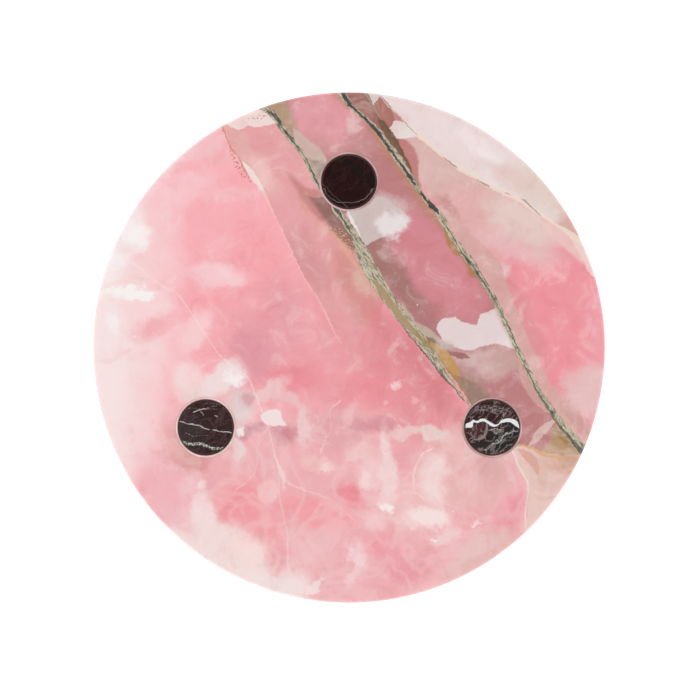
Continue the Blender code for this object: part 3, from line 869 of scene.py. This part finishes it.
def dark_marble(name, spot, ground, deeper, hair, web_scale, clouds, broken_veins, veins):
    """Dark red marble: a mottled ground, clouds, a web of healed cracks, then whole and broken veins."""
    material, tree, shader = blank(name)
    place = add(tree, "TexCoord", {})
    mm = add(tree, "VectorMath", {
        0: place.outputs["Object"], 1: (1000, 1000, 1000), 2: (0, 0, -1000 * foot_top),
    }, operation="MULTIPLY_ADD").outputs[0]
    level = add(tree, "SeparateXYZ", {0: mm})
    # The veins lean as they go down the peg.
    dipped = add(tree, "VectorMath", {
        0: level.outputs[2], 1: (0.4, -0.7, 0), 2: mm,
    }, operation="MULTIPLY_ADD").outputs[0]
    warp = add(tree, "TexNoise", {"Vector": mm, "Scale": 0.35, "Detail": 4, "Roughness": 0.6})
    warped = add(tree, "VectorMath", {
        0: warp.outputs["Color"], 1: (2, 2, 2), 2: dipped,
    }, operation="MULTIPLY_ADD")
    stone = add(tree, "VectorMath", {0: warped.outputs[0], 1: (-1, -1, -1)}, operation="ADD").outputs[0]
    mottle = add(tree, "TexNoise", {"Vector": stone, "Scale": 0.3, "Detail": 6, "Roughness": 0.7})
    patch = add(tree, "MapRange", {
        "Value": mottle.outputs[0], "From Min": 0.42, "From Max": 0.6,
    }, **smooth)
    colour = add(tree, "Mix", {
        0: patch.outputs[0], 6: shade(ground), 7: shade(deeper),
    }, data_type="RGBA").outputs[2]
    colour = clouded(tree, stone, colour, clouds)
    swung = add(tree, "VectorRotate", {"Vector": stone, "Angle": math.radians(-48)}, rotation_type="Z_AXIS")
    drawn = add(tree, "VectorMath", {0: swung.outputs[0], 1: (0.5, 1.2, 0.8)}, operation="MULTIPLY")
    web = add(tree, "TexNoise", {
        "Vector": drawn.outputs[0], "Scale": web_scale, "Detail": 4, "Roughness": 0.55, "Distortion": 0.5,
    })
    off = add(tree, "Math", {0: web.outputs[0], 1: 0.5}, operation="SUBTRACT")
    far = add(tree, "Math", {0: off.outputs[0]}, operation="ABSOLUTE")
    hairs = add(tree, "MapRange", {
        "Value": far.outputs[0], "From Min": 0.035, "From Max": 0.005, "To Max": 0.75,
    }, **smooth)
    colour = add(tree, "Mix", {0: hairs.outputs[0], 6: colour, 7: shade(hair)}, data_type="RGBA").outputs[2]
    crumbs = add(tree, "TexNoise", {"Vector": mm, "Scale": 0.9, "Detail": 3, "Roughness": 0.7})
    crumb = add(tree, "MapRange", {
        "Value": crumbs.outputs[0], "From Min": 0.46, "From Max": 0.6,
    }, **smooth).outputs[0]
    headings = ways(tree, stone, (-50, 0, -90))
    for tone, amount, soft, line in veins:
        colour = seam(tree, headings, colour, tone, line, amount, soft)
    for tone, amount, soft, line in broken_veins:
        colour = seam(tree, headings, colour, tone, line, amount, soft, crumb)
    # Painted shade: the tilted eased edge is painted a deeper red than the face, whole from here outwards.
    edge_shade_start = foot_radius - 0.0006
    from_middle = add(tree, "VectorMath", {
        0: place.outputs["Object"], 1: (1, 1, 0), 2: (-spot.x, -spot.y, 0),
    }, operation="MULTIPLY_ADD")
    out = add(tree, "VectorMath", {0: from_middle.outputs[0]}, operation="LENGTH")
    edge_shade = add(tree, "MapRange", {
        "Value": out.outputs["Value"], "From Min": foot_radius - foot_bevel, "From Max": edge_shade_start,
        "To Max": 0.85,
    }, **smooth)
    colour = add(tree, "Mix", {
        0: edge_shade.outputs[0], 6: colour, 7: shade("2E0D09"),
    }, data_type="RGBA").outputs[2]
    # A high polish, which mirrors the room faintly over the dark ground.
    tree.links.new(colour, shader.inputs["Base Color"])
    shader.inputs["Roughness"].default_value = 0.14
    shader.inputs["IOR"].default_value = 1.5
    shader.inputs["Specular IOR Level"].default_value = 0.32
    return material


for side, spot in foot_places.items():
    peg = bmesh.new()
    turned(peg, [
        (0, foot_top), (foot_radius - face_band, foot_top),
        *eased((foot_radius, foot_top), (1, 1), foot_bevel, 4),
        *eased((foot_radius, 0), (1, -1), base_bevel, 4)[::-1],
        (foot_radius - face_band, 0), (0, 0),
    ], spot, round_steps)
    marble = dark_marble(f"polished dark red marble {side}", spot, *marble_marks[side])
    foot = finished(f"marble_peg_{side}", peg, marble)
    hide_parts(f"marble_foot_{side}")


# Resin joints. Pink tinted resin fills the ring between each foot and its bore, ground flush with the top.
# Each batch was tinted to match the stone round its own foot.
resin_recess, resin_gap = 0.0001, 0.00002
resin_tints = {"back": ("DDB2B0", "C0938C"), "left": ("FCD9D4", "EDC0BB"), "right": ("DDB2B0", "C0938C")}
for side, spot in foot_places.items():
    resin, tree, shader = blank(f"pink tinted resin {side}")
    place = add(tree, "TexCoord", {})
    # More or less of the tint where the filler was stirred, so the ring comes and goes against the onyx.
    stirred = add(tree, "TexNoise", {"Vector": place.outputs["Object"], "Scale": 45, "Detail": 2})
    tint = add(tree, "MapRange", {
        "Value": stirred.outputs[0], "From Min": 0.4, "From Max": 0.6,
    }, **smooth)
    thin, strong = resin_tints[side]
    mixed = add(tree, "Mix", {0: tint.outputs[0], 6: shade(thin), 7: shade(strong)}, data_type="RGBA")
    tree.links.new(mixed.outputs[2], shader.inputs["Base Color"])
    shader.inputs["Roughness"].default_value = 0.2
    ring = bmesh.new()
    inner, outer = foot_radius + resin_gap, bore_radius - resin_gap
    high, low = slice_top - resin_recess, slice_low + resin_recess
    turned(ring, [(inner, high), (outer, high), (outer, low), (inner, low)], spot, round_steps, closed=True)
    joint = finished(f"resin_ring_{side}", ring, resin)
    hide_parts(f"resin_joint_{side}")


# Floor. A plain pale table that glows a little, as a lit shooting table does.
pale, tree, shader = blank("white lit table")
shader.inputs["Base Color"].default_value = shade("F2F1F0")
shader.inputs["Roughness"].default_value = 0.8
shader.inputs["Emission Color"].default_value = (1, 1, 1, 1)
shader.inputs["Emission Strength"].default_value = 0.35
ground = bmesh.new()
bmesh.ops.create_circle(ground, cap_ends=True, segments=96, radius=3)
data = bpy.data.meshes.new("floor")
ground.to_mesh(data)
ground.free()
data.materials.append(pale)
floor = bpy.data.objects.new("floor", data)
bpy.context.scene.collection.objects.link(floor)


# Light. Even daylight from all round, dimmer straight overhead, so that the polished top mirrors little
# of it.
world = bpy.data.worlds.new("studio")
bpy.context.scene.world = world
world.use_nodes = True
sky = world.node_tree
background = sky.nodes["Background"]
look = add(sky, "TexCoord", {})
tall = add(sky, "SeparateXYZ", {0: look.outputs["Generated"]})
side = add(sky, "MapRange", {
    "Value": tall.outputs[2], "From Min": 0, "From Max": 0.5, "To Min": 0.55, "To Max": 1.45,
}, **smooth)
overhead = add(sky, "MapRange", {
    "Value": tall.outputs[2], "From Min": 0.75, "From Max": 0.98, "To Min": 1, "To Max": 0.1,
}, **smooth)
bright = add(sky, "Math", {0: side.outputs[0], 1: overhead.outputs[0]}, operation="MULTIPLY")
sky.links.new(bright.outputs[0], background.inputs["Strength"])
background.inputs["Color"].default_value = (0.965, 0.985, 0.99, 1)
bpy.context.scene.view_settings.view_transform = "Standard"
